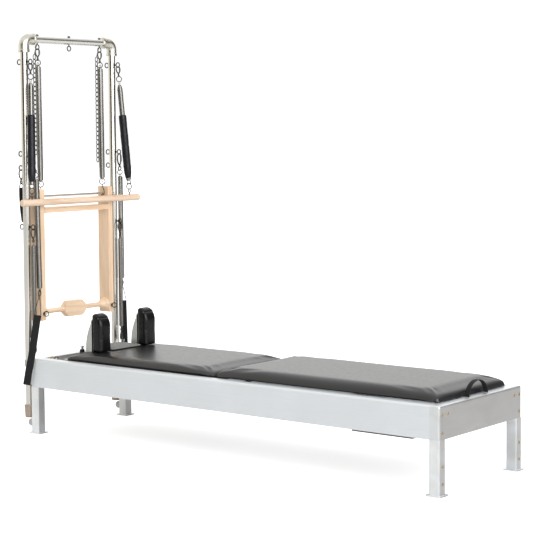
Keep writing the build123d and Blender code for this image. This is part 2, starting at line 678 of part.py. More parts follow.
def main():
    """Build every node."""
    os.makedirs("parts", exist_ok=True)
    names = {-1: "near", 1: "far"}
    save("rail_head", end_rail((HEAD, HEAD + END_RAIL_DEPTH - GAP / 4), -1))
    save("rail_foot", end_rail((FOOT - END_RAIL_DEPTH + GAP / 4, FOOT), 1))
    save("frame_screws", *frame_screws())
    save("cross_plate", cross_plate())
    save("spring_bar", spring_bar())
    save("crossbar", crossbar())
    save("post_caps", post_cap(-1), post_cap(1))
    brackets = [post_bracket(side, z) for side in (-1, 1) for z in (250, 330)]
    save("head_brackets", *brackets, pulley_bracket(-1), pulley_bracket(1),
         roller_bracket(-1), roller_bracket(1))
    save("transport_wheels", transport_wheel(-1), transport_wheel(1))
    save("tower_eyebolts", *tower_eyebolts())
    save("push_axle", push_axle())
    save("chains", chain(-1, 1298), chain(1, 1256))
    save("back_strap", *back_strap())
    save("roll_bar", roll_bar())
    save("roll_bar_hooks", roll_bar_hook(-1), roll_bar_hook(1))
    save("push_cross_board", push_cross_board())
    save("push_dowel", push_dowel())
    save("carriage_deck", carriage_deck())
    save("carriage_pad", pad((CARRIAGE_HEAD, CARRIAGE_FOOT), (PAD_BOTTOM, CARRIAGE_PAD_TOP), (-1, 1)))
    save("carriage_springs", *carriage_springs())
    save("strap_pegs", peg(-1), peg(1))
    save("peg_loops", peg_loop(-1), peg_loop(1))
    save("wheelset_head", wheelset(WHEEL_X[0]))
    save("wheelset_foot", wheelset(WHEEL_X[1]))
    save("headrest", headrest())
    save("mat_pad", pad((MAT_HEAD, MAT_FOOT), (PAD_BOTTOM, MAT_TOP)))
    save("mat_handle", mat_handle())
    save("footbar", footbar())
    for side, name in names.items():
        save(f"rail_{name}", side_rail(side))
        save(f"track_{name}", track(side))
        save(f"leg_{name}_head", leg(-1, side))
        save(f"leg_{name}_foot", leg(1, side))
        save(f"post_{name}", post(side))
        save(f"elbow_{name}", elbow(side))
        save(f"pulley_{name}", pulley(side))
        save(f"inner_spring_{name}", inner_spring(side))
        save(f"arm_spring_{name}", arm_spring(side))
        save(f"arm_strap_{name}", arm_strap(side))
        save(f"leg_spring_{name}", leg_spring(side))
        save(f"leg_hook_{name}", leg_hook(side))
        save(f"roll_spring_{name}", roll_spring(side))
        save(f"push_board_{name}", push_board(side))
        save(f"shoulder_bracket_{name}", shoulder_bracket(side))
        save(f"shoulder_pad_{name}", shoulder_pad(side))


main()
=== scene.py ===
import math

import bmesh
import bpy
import numpy as np
from mathutils import Matrix, Vector


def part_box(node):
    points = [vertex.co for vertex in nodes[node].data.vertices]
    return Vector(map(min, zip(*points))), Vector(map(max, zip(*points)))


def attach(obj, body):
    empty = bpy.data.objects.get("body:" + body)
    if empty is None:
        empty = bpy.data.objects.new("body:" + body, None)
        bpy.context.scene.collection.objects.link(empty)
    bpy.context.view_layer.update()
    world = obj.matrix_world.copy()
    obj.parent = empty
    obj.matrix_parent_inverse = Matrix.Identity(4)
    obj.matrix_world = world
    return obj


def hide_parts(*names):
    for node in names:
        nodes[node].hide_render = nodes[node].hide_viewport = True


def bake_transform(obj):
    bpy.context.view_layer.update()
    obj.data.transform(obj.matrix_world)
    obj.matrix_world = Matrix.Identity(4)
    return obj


# Looks of a pilates reformer with a tower. Metres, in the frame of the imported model:
# +X from the tower to the foot end, +Y to the far side, +Z up. "near" is the -Y side.

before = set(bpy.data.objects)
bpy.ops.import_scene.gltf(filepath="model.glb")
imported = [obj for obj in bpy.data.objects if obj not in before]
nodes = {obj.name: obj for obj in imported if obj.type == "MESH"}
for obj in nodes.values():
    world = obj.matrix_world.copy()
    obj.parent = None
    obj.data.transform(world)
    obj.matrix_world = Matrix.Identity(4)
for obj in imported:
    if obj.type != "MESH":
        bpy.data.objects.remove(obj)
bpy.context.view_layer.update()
SIDES = (("near", -1), ("far", 1))


def middle(node):
    """The centre of a node's box."""
    low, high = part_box(node)
    return (low + high) / 2


# ---- sizes of the added hardware
EYE_OUTER = 0.0141          # an eyebolt's eye, from its centre
EYE_INNER = 0.0089
COIL_WIRE = 0.0013
LEG_COIL_WIRE = 0.0011
CARRIAGE_COIL_WIRE = 0.0016
INNER_COIL_RADIUS = 0.0152
ARM_COIL_RADIUS = 0.0142
ROLL_COIL_RADIUS = 0.0144
LEG_COIL_RADIUS = 0.0115
COIL_BULGE = 0.22           # how far a turn stands out of the coil, as a share of its wire
HOOK_WIRE = 0.0033
HOOK_WIDTH = 0.0158
SMALL_HOOK_WIDTH = 0.0085
RING_WIRE = 0.0022
STRAP_THICK = 0.0030
SLEEVE_RADIUS = 0.0191

# ---- places taken from the frame
POST_X = middle("post_far").x
POST_Y = middle("post_far").y
POST_RADIUS = (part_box("post_far")[1].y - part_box("post_far")[0].y) / 2
BAR_Z = middle("crossbar").z
FRONT_EYE_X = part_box("tower_eyebolts")[1].x - EYE_OUTER
BACK_EYE_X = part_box("tower_eyebolts")[0].x + EYE_OUTER
HANGER_Y = (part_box("chains")[1].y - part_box("chains")[0].y) / 2 - 0.004
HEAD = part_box("rail_head")[0].x
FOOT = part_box("rail_foot")[1].x
ROLL_X = middle("roll_bar").x
ROLL_Z = middle("roll_bar").z
ROLL_RADIUS = (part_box("roll_bar")[1].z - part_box("roll_bar")[0].z) / 2
ROLL_HOOK_Y = (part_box("roll_bar_hooks")[1].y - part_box("roll_bar_hooks")[0].y) / 2 - 0.0112

# heights at the posts
ROLL_EYE_Z = 1.755
ARM_EYE_Z = 1.323
BACK_EYE_Z = 1.256
LEG_EYE_Z = 0.977
INNER_COIL_TOP = 1.738
INNER_COIL_BOTTOM = 1.192
ROLL_COIL_TOP = 1.657
ROLL_COIL_BOTTOM = 1.178
SLEEVE_TOP = 1.506
SLEEVE_BOTTOM = 1.192
CLEVIS_PIN = 1.164
CHAIN_TOP = 1.792
CHAIN_BOTTOMS = (1.298, 1.256)
LEG_COIL_TOP = 0.892
LEG_COIL_BOTTOM = 0.446


# ---- mesh helpers
SHARP_ANGLE = 50


def add_object(name, data):
    """An object in the scene that holds the data."""
    made = bpy.data.objects.new(name, data)
    bpy.context.scene.collection.objects.link(made)
    return made


def circle(centre, first, second, radius, sides):
    """Points around a centre, in the plane of two directions."""
    ring = []
    for k in range(sides):
        angle = 2 * math.pi * k / sides
        ring.append(centre + (first * math.cos(angle) + second * math.sin(angle)) * radius)
    return ring


class Shape:
    """Vertices, faces and a UV for each vertex, gathered for one piece."""

    def __init__(self):
        self.points = []
        self.faces = []
        self.uvs = []

    def rings(self, rings, around=True, along=False, caps=True, uvs=None):
        """Quads between rings that each have the same number of points."""
        first = len(self.points)
        count = len(rings[0])
        for index, ring in enumerate(rings):
            self.points.extend(Vector(p) for p in ring)
            self.uvs.extend(uvs[index] if uvs is not None else [(0, 0)] * count)
        total = len(rings)
        steps = total if along else total - 1
        turns = count if around else count - 1
        for i in range(steps):
            for j in range(turns):
                a = first + i * count + j
                b = first + i * count + (j + 1) % count
                c = first + (i + 1) % total * count + (j + 1) % count
                d = first + (i + 1) % total * count + j
                self.faces.append((a, b, c, d))
        if caps and around and not along:
            self.faces.append(tuple(first + j for j in reversed(range(count))))
            self.faces.append(tuple(first + (total - 1) * count + j for j in range(count)))

    def sweep(self, path, radius, sides=8, closed=False):
        """A round wire along a path."""
        path = [Vector(p) for p in path]
        count = len(path)
        tangents = []
        for i in range(count):
            before = path[i - 1] if closed or i > 0 else path[0]
            after = path[(i + 1) % count] if closed or i < count - 1 else path[-1]
            tangents.append((after - before).normalized())
        normal = tangents[0].orthogonal().normalized()
        rings = []
        for point, tangent in zip(path, tangents):
            normal = (normal - tangent * normal.dot(tangent)).normalized()
            rings.append(circle(point, normal, tangent.cross(normal), radius, sides))
        self.rings(rings, along=closed, caps=not closed)

    def lathe(self, start, direction, profile, sides=24):
        """A turned form; profile is a list of (distance along, radius)."""
        start = Vector(start)
        direction = Vector(direction).normalized()
        normal = direction.orthogonal().normalized()
        other = direction.cross(normal)
        self.rings([circle(start + direction * distance, normal, other, radius, sides)
                    for distance, radius in profile])

    def loop(self, centre, normal, radius, wire, steps=28, stretch=1.0):
        """A closed wire ring; stretch lengthens it vertically."""
        normal = Vector(normal).normalized()
        level = normal.cross(Vector((0, 0, 1)))
        level = level.normalized() if level.length > 0.01 else Vector((1, 0, 0))
        rise = level.cross(normal)
        path = []
        for k in range(steps):
            angle = 2 * math.pi * k / steps
            path.append(Vector(centre) + level * math.cos(angle) * radius
                        + rise * math.sin(angle) * radius * stretch)
        self.sweep(path, wire, closed=True)

    def coil(self, top, bottom, radius, wire, taper=(3, 3), turn_steps=14, sides=6):
        """A close-wound coil spring whose end turns draw in towards its axis."""
        top = np.array(top, float)
        bottom = np.array(bottom, float)
        axis = bottom - top
        length = np.linalg.norm(axis)
        axis /= length
        across = np.cross(axis, (0.0, 1.0, 0.0))
        across /= np.linalg.norm(across)
        other = np.cross(axis, across)
        turns = length / (2 * wire)
        t = np.linspace(0, turns, int(turns * turn_steps))
        draw = np.minimum(np.clip(t / taper[0], 0, 1), np.clip((turns - t) / taper[1], 0, 1))
        reach = (radius - wire) * (0.42 + 0.58 * np.sin(draw * math.pi / 2))
        angle = 2 * math.pi * t
        outward = np.outer(np.cos(angle), across) + np.outer(np.sin(angle), other)
        centre = top + np.outer(t / turns * length, axis) + outward * reach[:, None]
        rings = []
        for k in range(sides):
            a = 2 * math.pi * k / sides
            rings.append(centre + outward * (math.cos(a) * wire * COIL_BULGE) + axis * (math.sin(a) * wire))
        rings = np.stack(rings, axis=1)
        self.rings(rings.tolist())


def smooth_path(points, steps=10):
    """A Catmull-Rom line through the points."""
    points = [Vector(p) for p in points]
    full = [2 * points[0] - points[1]] + points + [2 * points[-1] - points[-2]]
    path = []
    for i in range(1, len(full) - 2):
        a, b, c, d = full[i - 1:i + 3]
        for k in range(steps):
            t = k / steps
            path.append(0.5 * (2 * b + (c - a) * t + (2 * a - 5 * b + 4 * c - d) * t ** 2
                               + (3 * b - a - 3 * c + d) * t ** 3))
    path.append(points[-1])
    return path


def webbing(shape, path, across, width, thick, columns=14, across_end=None):
    """Flat webbing along a path; its width turns from across to across_end."""
    path = [Vector(p) for p in path]
    first = Vector(across).normalized()
    last = Vector(across_end).normalized() if across_end else first
    rings = []
    uvs = []
    run = 0.0
    for i, point in enumerate(path):
        across = first.lerp(last, i / (len(path) - 1))
        ahead = path[min(i + 1, len(path) - 1)] - path[max(i - 1, 0)]
        side = (across - ahead.normalized() * across.dot(ahead.normalized())).normalized()
        face = ahead.normalized().cross(side)
        if i:
            run += (point - path[i - 1]).length
        ring = []
        uv = []
        for top in (1, -1):
            for k in range(columns):
                share = k / (columns - 1) if top > 0 else 1 - k / (columns - 1)
                edge = 0.55 if k in (0, columns - 1) else 1.0
                ring.append(point + side * (share - 0.5) * width + face * top * thick / 2 * edge)
                uv.append((share * width, run))
        rings.append(ring)
        uvs.append(uv)
    shape.rings(rings, uvs=uvs)


def finished(name, shape, material, replaces):
    """An object from a Shape, smooth apart from its sharp edges and CAD nodes."""
    mesh = bpy.data.meshes.new(name)
    mesh.from_pydata(shape.points, [], shape.faces)
    layer = mesh.uv_layers.new(name="UVMap")
    index = np.zeros(len(mesh.loops), np.int32)
    mesh.loops.foreach_get("vertex_index", index)
    layer.data.foreach_set("uv", np.array(shape.uvs, np.float32)[index].ravel())
    mesh.shade_smooth()
    mesh.set_sharp_from_angle(angle=math.radians(SHARP_ANGLE))
    mesh.materials.append(material)
    made = add_object(name, mesh)
    if replaces:
        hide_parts(*replaces)
    return made


def piece(name, shape, material, body, replaces=()):
    """A finished piece that rides on a body."""
    made = finished(name, shape, material, replaces)
    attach(made, body)


def stretched(name, shape, material, replaces=()):
    """A finished piece on no body, with its transform baked into its mesh."""
    made = finished(name, shape, material, replaces)
    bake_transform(made)


# ---- materials
def add_node(tree, kind, **constants):
    """A new shader node with constant inputs; an underscore stands for a space."""
    node = tree.nodes.new("ShaderNode" + kind)
    for name, value in constants.items():
        node.inputs[name.replace("_", " ")].default_value = value
    return node


class Nodes:
    """A node material being built."""

    def __init__(self, name, color, roughness, metallic=0.0):
        self.material = bpy.data.materials.new(name)
        self.material.use_nodes = True
        self.tree = self.material.node_tree
        self.shader = self.tree.nodes["Principled BSDF"]
        self.shader.inputs["Base Color"].default_value = (*color, 1)
        self.shader.inputs["Roughness"].default_value = roughness
        self.shader.inputs["Metallic"].default_value = metallic
        self.coordinates = self.add("TexCoord")

    def link(self, source, target):
        self.tree.links.new(source, target)

    def add(self, kind, **constants):
        return add_node(self.tree, kind, **constants)

    def mapped(self, scale, source="Object"):
        """Coordinates scaled along each axis."""
        mapping = self.add("Mapping", Scale=scale)
        self.link(self.coordinates.outputs[source], mapping.inputs["Vector"])
        return mapping.outputs["Vector"]

    def noise(self, vector, scale=1.0, detail=4.0, distortion=0.0):
        texture = self.add("TexNoise", Scale=scale, Detail=detail, Distortion=distortion)
        self.link(vector, texture.inputs["Vector"])
        return texture.outputs["Fac"]

    def cells(self, vector, scale):
        texture = self.add("TexVoronoi", Scale=scale)
        texture.feature = "SMOOTH_F1"
        self.link(vector, texture.inputs["Vector"])
        return texture.outputs["Distance"]

    def waves(self, vector, scale, distortion, direction="X"):
        texture = self.add("TexWave", Scale=scale, Distortion=distortion, Detail=3)
        texture.bands_direction = direction
        self.link(vector, texture.inputs["Vector"])
        return texture.outputs["Fac"]

    def remap(self, value, low, high, start=0.3, end=0.7):
        """A value mapped from start..end to low..high."""
        node = self.add("MapRange", From_Min=start, From_Max=end, To_Min=low, To_Max=high)
        self.link(value, node.inputs["Value"])
        return node.outputs["Result"]

    def multiply(self, a, b):
        node = self.add("Math")
        node.operation = "MULTIPLY"
        self.link(a, node.inputs[0])
        self.link(b, node.inputs[1])
        return node.outputs["Value"]

    def tint(self, value, dark, light, start=0.3, end=0.7):
        """Two colours mixed by a value."""
        ramp = self.add("ValToRGB")
        ramp.color_ramp.elements[0].position = start
        ramp.color_ramp.elements[0].color = (*dark, 1)
        ramp.color_ramp.elements[1].position = end
        ramp.color_ramp.elements[1].color = (*light, 1)
        self.link(value, ramp.inputs["Fac"])
        return ramp.outputs["Color"]

    def blend_colors(self, a, b, share):
        node = self.add("Mix")
        node.data_type = "RGBA"
        node.blend_type = "MULTIPLY"
        node.inputs["Factor"].default_value = share
        self.link(a, node.inputs[6])
        self.link(b, node.inputs[7])
        return node.outputs[2]

    def paint(self, color):
        self.link(color, self.shader.inputs["Base Color"])

    def polish(self, roughness):
        self.link(roughness, self.shader.inputs["Roughness"])

    def relief(self, height, strength, distance):
        bump = self.add("Bump", Strength=strength, Distance=distance)
        self.link(height, bump.inputs["Height"])
        self.link(bump.outputs["Normal"], self.shader.inputs["Normal"])

    def set(self, **values):
        """Constants on the shader's own sockets."""
        for name, value in values.items():
            self.shader.inputs[name.replace("_", " ")].default_value = value


def scaled(color, factor):
    return tuple(channel * factor for channel in color)


def brushed_metal(name, color, roughness, along, streak=0.04, depth=0.00003, fine=900, metallic=1.0):
    """Metal with fine streaks along one axis."""
    made = Nodes(name, color, roughness, metallic)
    scale = [fine, fine, fine]
    scale["XYZ".index(along)] = fine * 0.012
    streaks = made.noise(made.mapped(scale), detail=3)
    clouds = made.noise(made.mapped((4, 4, 4)), detail=5)
    made.paint(made.blend_colors(made.tint(streaks, scaled(color, 0.95), color),
                                 made.tint(clouds, (0.95, 0.95, 0.945), (1, 1, 1)), 1.0))
    made.polish(made.remap(streaks, roughness - streak, roughness + streak))
    made.relief(streaks, 0.2, depth)
    return made.material


def facing_shaded_metal(name, color, painted_light_side_color, roughness, fine=(900, 10, 900)):
    """Brushed metal with light and shade painted by facing: faces towards ±X get the greyer colour as
    painted shade, and faces towards ±Y get the paler side colour as painted light.
    """
    made = Nodes(name, color, roughness, metallic=0.7)
    streaks = made.noise(made.mapped(fine), detail=3)
    clouds = made.noise(made.mapped((9, 5, 12)), detail=6, distortion=0.4)
    split = made.add("SeparateXYZ")
    made.link(made.coordinates.outputs["Normal"], split.inputs["Vector"])
    size = made.add("Math")
    size.operation = "ABSOLUTE"
    made.link(split.outputs["X"], size.inputs[0])
    # painted shade and light by facing: faces towards ±X get the greyer colour, faces towards ±Y the paler
    # side colour
    face = made.tint(size.outputs["Value"], painted_light_side_color, color, 0.45, 0.85)
    worn = made.blend_colors(made.tint(streaks, (0.93, 0.93, 0.93), (1, 1, 1)),
                             made.tint(clouds, (0.84, 0.83, 0.81), (1, 1, 1)), 1.0)
    made.paint(made.blend_colors(face, worn, 1.0))
    made.polish(made.remap(clouds, roughness - 0.05, roughness + 0.07))
    made.relief(streaks, 0.25, 0.00004)
    return made.material


def cast_metal(name, color, roughness):
    """Metal with a faintly uneven, softly worn surface."""
    made = Nodes(name, color, roughness, metallic=1.0)
    spots = made.noise(made.mapped((160, 160, 160)), detail=6)
    clouds = made.noise(made.mapped((28, 28, 28)), detail=3)
    made.paint(made.blend_colors(made.tint(spots, scaled(color, 0.82), color),
                                 made.tint(clouds, (0.86, 0.85, 0.83), (1, 1, 1)), 1.0))
    made.polish(made.remap(clouds, roughness - 0.05, roughness + 0.09))
    made.relief(spots, 0.25, 0.0001)
    return made.material


def vinyl(name, color, roughness, grain=650, specular=0.5):
    """Smooth upholstery vinyl with a fine leather grain."""
    made = Nodes(name, color, roughness)
    pores = made.cells(made.mapped((1, 1, 1)), grain)
    folds = made.noise(made.mapped((60, 60, 60)), detail=4)
    clouds = made.noise(made.mapped((7, 7, 7)), detail=4)
    made.paint(made.blend_colors(made.tint(pores, scaled(color, 0.85), scaled(color, 1.1), 0.05, 0.6),
                                 made.tint(clouds, (0.92, 0.92, 0.93), (1, 1, 1)), 1.0))
    made.polish(made.remap(folds, roughness - 0.02, roughness + 0.03))
    made.relief(made.multiply(pores, folds), 0.09, 0.0002)
    made.set(Specular_IOR_Level=specular)
    return made.material


def woven(name, color, ribs=520):
    """Webbing with ribs along its length and a fine cross weave; needs UVs in metres."""
    made = Nodes(name, color, 0.78)
    rib = made.waves(made.mapped((1, 0, 0), "UV"), ribs / 6.28, 0.0)
    weft = made.waves(made.mapped((0, 1, 0), "UV"), 190, 0.0, "Y")
    lint = made.noise(made.mapped((900, 900, 900)), detail=2)
    made.paint(made.blend_colors(made.tint(rib, scaled(color, 0.55), scaled(color, 1.6), 0.1, 0.9),
                                 made.tint(lint, (0.75, 0.75, 0.77), (1, 1, 1)), 1.0))
    made.relief(made.multiply(rib, made.remap(weft, 0.6, 1.0, 0, 1)), 0.6, 0.0005)
    made.set(Specular_IOR_Level=0.25, Sheen_Weight=0.05, Sheen_Roughness=0.5)
    return made.material


def maple(name, along, light=(0.85, 0.65, 0.47), dark=(0.78, 0.57, 0.39)):
    """Pale hardwood whose grain runs along one axis."""
    made = Nodes(name, light, 0.42)
    coarse = [1.0, 1.0, 1.0]
    coarse["XYZ".index(along)] = 0.07
    fine = [520.0, 520.0, 520.0]
    fine["XYZ".index(along)] = 14.0
    stretched_space = made.mapped(coarse)
    rings = made.waves(stretched_space, 15, 11.0, "DIAGONAL")
    figure = made.noise(stretched_space, 38, 5, 0.6)
    pores = made.noise(made.mapped(fine), detail=2)
    base = made.tint(rings, dark, light, 0.0, 0.5)
    made.paint(made.blend_colors(
        made.blend_colors(base, made.tint(figure, (0.90, 0.86, 0.82), (1, 1, 1)), 1.0),
        made.tint(pores, (0.93, 0.90, 0.87), (1, 1, 1), 0.35, 0.5), 0.8))
    made.polish(made.remap(pores, 0.36, 0.52))
    made.relief(pores, 0.15, 0.00012)
    made.set(Coat_Weight=0.12, Coat_Roughness=0.25)
    return made.material


def moulded(name, color, roughness):
    """Moulded plastic with a spark-eroded texture."""
    made = Nodes(name, color, roughness)
    grit = made.noise(made.mapped((1400, 1400, 1400)), detail=2)
    clouds = made.noise(made.mapped((18, 18, 18)), detail=3)
    made.paint(made.tint(clouds, scaled(color, 0.85), scaled(color, 1.1)))
    made.polish(made.remap(grit, roughness - 0.04, roughness + 0.06))
    made.relief(grit, 0.25, 0.0001)
    return made.material


RAIL = brushed_metal("rail_aluminium", (0.80, 0.835, 0.875), 0.45, "X", metallic=0.6)
# painted shade and light on the legs and end rails: their X-facing faces greyer, their Y-facing faces paler
LEG = facing_shaded_metal("leg_aluminium", (0.56, 0.565, 0.575), (0.94, 0.97, 1.0), 0.44, (900, 900, 10))
END = facing_shaded_metal("end_aluminium", (0.49, 0.49, 0.49), (0.84, 0.875, 0.91), 0.40)
TRACK = brushed_metal("track_aluminium", (0.60, 0.61, 0.62), 0.45, "X")
PLATE = brushed_metal("plate_steel", (0.55, 0.56, 0.57), 0.42, "Y")
# painted shade: the cross plate is the plate steel darkened to the shade that falls under the rails
PLATE_PAINTED_SHADE = brushed_metal("plate_steel_painted_shade", (0.12, 0.12, 0.12), 0.5, "Y")
POST = brushed_metal("polished_post", (0.74, 0.715, 0.665), 0.11, "Z", 0.02, 0.000004)
CROSS = brushed_metal("polished_crossbar", (0.88, 0.87, 0.83), 0.20, "Y", 0.02, 0.000004)
ELBOW = cast_metal("elbow_nickel", (0.84, 0.82, 0.74), 0.26)
CAP = cast_metal("cap_bronze", (0.56, 0.46, 0.39), 0.40)
ZINC = cast_metal("zinc_hardware", (0.105, 0.100, 0.092), 0.24)
CHAIN = cast_metal("zinc_chain", (0.22, 0.225, 0.23), 0.24)
SPRING = cast_metal("spring_steel", (0.27, 0.262, 0.247), 0.14)
BRASS = cast_metal("brass_screw", (0.52, 0.37, 0.17), 0.30)
CHROME = cast_metal("chrome", (0.82, 0.83, 0.84), 0.12)
BRACKET = brushed_metal("bracket_aluminium", (0.56, 0.58, 0.56), 0.36, "Z")
VINYL = vinyl("vinyl_black", (0.005, 0.0053, 0.0070), 0.35, specular=0.80)
SHOULDER = vinyl("vinyl_shoulder", (0.0035, 0.0035, 0.0042), 0.27, specular=0.30)
GREY = vinyl("vinyl_grey", (0.20, 0.204, 0.20), 0.55, specular=0.3)
SLEEVE = vinyl("sleeve_black", (0.007, 0.0075, 0.010), 0.32, 900, 0.30)
LEATHER = vinyl("leather_black", (0.010, 0.0095, 0.0095), 0.48, 420)
WEB = woven("webbing_black", (0.011, 0.011, 0.012))
MAPLE_Z = maple("maple_upright", "Z")
MAPLE_Y = maple("maple_level", "Y")
MAPLE_BAR = maple("maple_bar", "Y", (0.80, 0.63, 0.485), (0.72, 0.52, 0.37))
DECK = moulded("deck_painted", (0.035, 0.035, 0.036), 0.55)
PLASTIC = moulded("wheel_plastic", (0.060, 0.060, 0.062), 0.45)
ROLLER = moulded("roller_grey", (0.62, 0.63, 0.65), 0.45)

NODE_MATERIALS = {
    RAIL: ("rail_near", "rail_far"),
    LEG: ("leg_near_head", "leg_far_head", "leg_near_foot", "leg_far_foot"),
    END: ("rail_head", "rail_foot"),
    TRACK: ("track_near", "track_far", "spring_bar"),
    PLATE: ("head_brackets",),
    PLATE_PAINTED_SHADE: ("cross_plate",),
    POST: ("post_near", "post_far"),
    CROSS: ("crossbar", "push_axle"),
    ELBOW: ("elbow_near", "elbow_far"),
    CAP: ("post_caps",),
    ZINC: ("tower_eyebolts",),
    CHROME: ("strap_pegs", "footbar"),
    BRACKET: ("shoulder_bracket_near", "shoulder_bracket_far"),
    MAPLE_Z: ("push_board_near", "push_board_far"),
    MAPLE_Y: ("push_cross_board", "push_dowel"),
    MAPLE_BAR: ("roll_bar",),
    DECK: ("carriage_deck",),
    PLASTIC: ("wheelset_head", "wheelset_foot", "pulley_near", "pulley_far"),
    ROLLER: ("transport_wheels",),
}


def dress_nodes():
    """Give every CAD node that stays visible its finished material."""
    for material, names in NODE_MATERIALS.items():
        for name in names:
            data = nodes[name].data
            if not data.materials:
                data.materials.append(material)
            for index in range(len(data.materials)):
                data.materials[index] = material


# ---- studio and camera
CAMERA_PLACE = (4.4116, -5.5755, 1.4299)
CAMERA_HEADING = 38.60
CAMERA_DIP = 3.78
CAMERA_ROLL = -0.46
CAMERA_LENS = 108.3
CAMERA_SHIFT = (0.0382, -0.0584)
FLOOR_GLOW = 0.71           # keeps the floor white to the camera
WORLD_STRENGTH = 2.85


def camera():
    """The camera at the photograph's viewing angle."""
    data = bpy.data.cameras.new("camera")
    data.sensor_width = 36
    data.lens = CAMERA_LENS
    data.shift_x, data.shift_y = CAMERA_SHIFT
    data.clip_end = 200
    made = add_object("camera", data)
    turn = Matrix.Rotation(math.radians(CAMERA_HEADING), 4, "Z")
    dip = Matrix.Rotation(math.radians(90 - CAMERA_DIP), 4, "X")
    roll = Matrix.Rotation(math.radians(CAMERA_ROLL), 4, "Z")
    made.matrix_world = Matrix.Translation(CAMERA_PLACE) @ turn @ dip @ roll
    bpy.context.scene.camera = made


def floor():
    """A plain pale floor."""
    mesh = bpy.data.meshes.new("floor")
    reach = 40
    corners = [(-reach, -reach, 0), (reach, -reach, 0), (reach, reach, 0), (-reach, reach, 0)]
    mesh.from_pydata(corners, [], [(0, 1, 2, 3)])
    made = add_object("floor", mesh)
    pale = Nodes("floor_pale", (0.80, 0.80, 0.80), 0.95)
    speckle = pale.noise(pale.mapped((3, 3, 3)), detail=3)
    pale.paint(pale.tint(speckle, (0.79, 0.79, 0.79), (0.81, 0.81, 0.81)))
    pale.set(Specular_IOR_Level=0.0, Emission_Color=(1, 1, 1, 1))
    path = pale.add("LightPath")
    glow = pale.remap(path.outputs["Is Camera Ray"], 0.0, FLOOR_GLOW, 0, 1)
    pale.link(glow, pale.shader.inputs["Emission Strength"])
    mesh.materials.append(pale.material)


def sky():
    """Even white light with darker zones low down, which the polished tubes reflect."""
    world = bpy.data.worlds.new("studio")
    bpy.context.scene.world = world
    world.use_nodes = True
    tree = world.node_tree
    link = tree.links.new
    background = tree.nodes["Background"]
    background.inputs["Strength"].default_value = WORLD_STRENGTH
    around = add_node(tree, "TexCoord")
    split = add_node(tree, "SeparateXYZ")
    link(around.outputs["Generated"], split.inputs["Vector"])
    heading = add_node(tree, "Math")
    heading.operation = "ARCTAN2"
    link(split.outputs["Y"], heading.inputs[0])
    link(split.outputs["X"], heading.inputs[1])
    share = add_node(tree, "MapRange", From_Min=-math.pi, From_Max=math.pi)
    link(heading.outputs["Value"], share.inputs["Value"])
    ramp = add_node(tree, "ValToRGB")
    ramp.color_ramp.interpolation = "EASE"
    dark = (0.030, 0.027, 0.024)
    beige = (0.36, 0.345, 0.30)
    back = (0.56, 0.56, 0.55)
    white = (1.0, 1.0, 1.0)
    grey = (0.055, 0.050, 0.046)
    bands = [(-180, beige), (-122, beige), (-108, dark), (-60, dark), (-48, white), (14, white),
             (24, grey), (92, grey), (108, back), (158, back), (170, beige), (180, beige)]
    for index, (angle, color) in enumerate(bands):
        position = (angle + 180) / 360
        if index < 2:
            stop = ramp.color_ramp.elements[index]
            stop.position = position
        else:
            stop = ramp.color_ramp.elements.new(position)
        stop.color = (*color, 1)
    link(share.outputs["Result"], ramp.inputs["Fac"])
    height = add_node(tree, "MapRange", From_Min=0.35, From_Max=0.75)
    link(split.outputs["Z"], height.inputs["Value"])
    upper = add_node(tree, "Mix")
    upper.data_type = "RGBA"
    link(height.outputs["Result"], upper.inputs["Factor"])
    link(ramp.outputs["Color"], upper.inputs[6])
    upper.inputs[7].default_value = (0.34, 0.34, 0.34, 1)
    path = add_node(tree, "LightPath")
    seen = add_node(tree, "Mix")
    seen.data_type = "RGBA"
    link(path.outputs["Is Camera Ray"], seen.inputs["Factor"])
    link(upper.outputs[2], seen.inputs[6])
    plain_white = 1.02 / background.inputs["Strength"].default_value
    seen.inputs[7].default_value = (plain_white, plain_white, plain_white, 1)
    link(seen.outputs[2], background.inputs["Color"])


def lamp():
    """A soft square key light aimed at the middle of the bed."""
    data = bpy.data.lights.new("key", "AREA")
    data.size = 2.6
    data.energy = 110
    made = add_object("key", data)
    made.location = (5.2, -2.2, 3.4)
    made.rotation_euler = (Vector((0, 0, 0.5)) - made.location).to_track_quat("-Z", "Y").to_euler()


def studio():
    floor()
    sky()
    lamp()
    bpy.context.scene.view_settings.view_transform = "Standard"


# ---- padded pieces
CLOTH_FRAMES = 20
HELD_DEPTH = 0.004          # the part of a pad that stays fixed, from its underside
TUCKS = 14


def rounded_box(low, high, upper, lower, cell):
    """A closed grid of quads; upper and lower are the (x, y, z) radii of the rounded edges."""
    size = high - low
    counts = [max(4, round(size[k] / cell)) for k in range(3)]
    ids = {}
    points = []
    faces = []

    def corner(i, j, k):
        key = (i, j, k)
        if key not in ids:
            ids[key] = len(points)
            place = [low[n] + size[n] * key[n] / counts[n] for n in range(3)]
            radii = upper if k * 2 > counts[2] else lower
            core = [min(max(place[n], low[n] + radii[n]), high[n] - radii[n]) for n in range(3)]
            off = Vector(((place[n] - core[n]) / radii[n] for n in range(3)))
            if off.length > 1e-9:
                off.normalize()
            points.append([core[n] + off[n] * radii[n] for n in range(3)])
        return ids[key]

    for axis in range(3):
        a, b = [n for n in range(3) if n != axis]
        for end in (0, counts[axis]):
            for p in range(counts[a]):
                for q in range(counts[b]):
                    quad = []
                    for da, db in ((0, 0), (1, 0), (1, 1), (0, 1)):
                        key = [0, 0, 0]
                        key[axis] = end
                        key[a] = p + da
                        key[b] = q + db
                        quad.append(corner(*key))
                    faces.append(quad)
    mesh = bpy.data.meshes.new("form")
    mesh.from_pydata(points, [], faces)
    work = bmesh.new()
    work.from_mesh(mesh)
    bmesh.ops.recalc_face_normals(work, faces=work.faces)
    work.to_mesh(mesh)
    work.free()
    return mesh


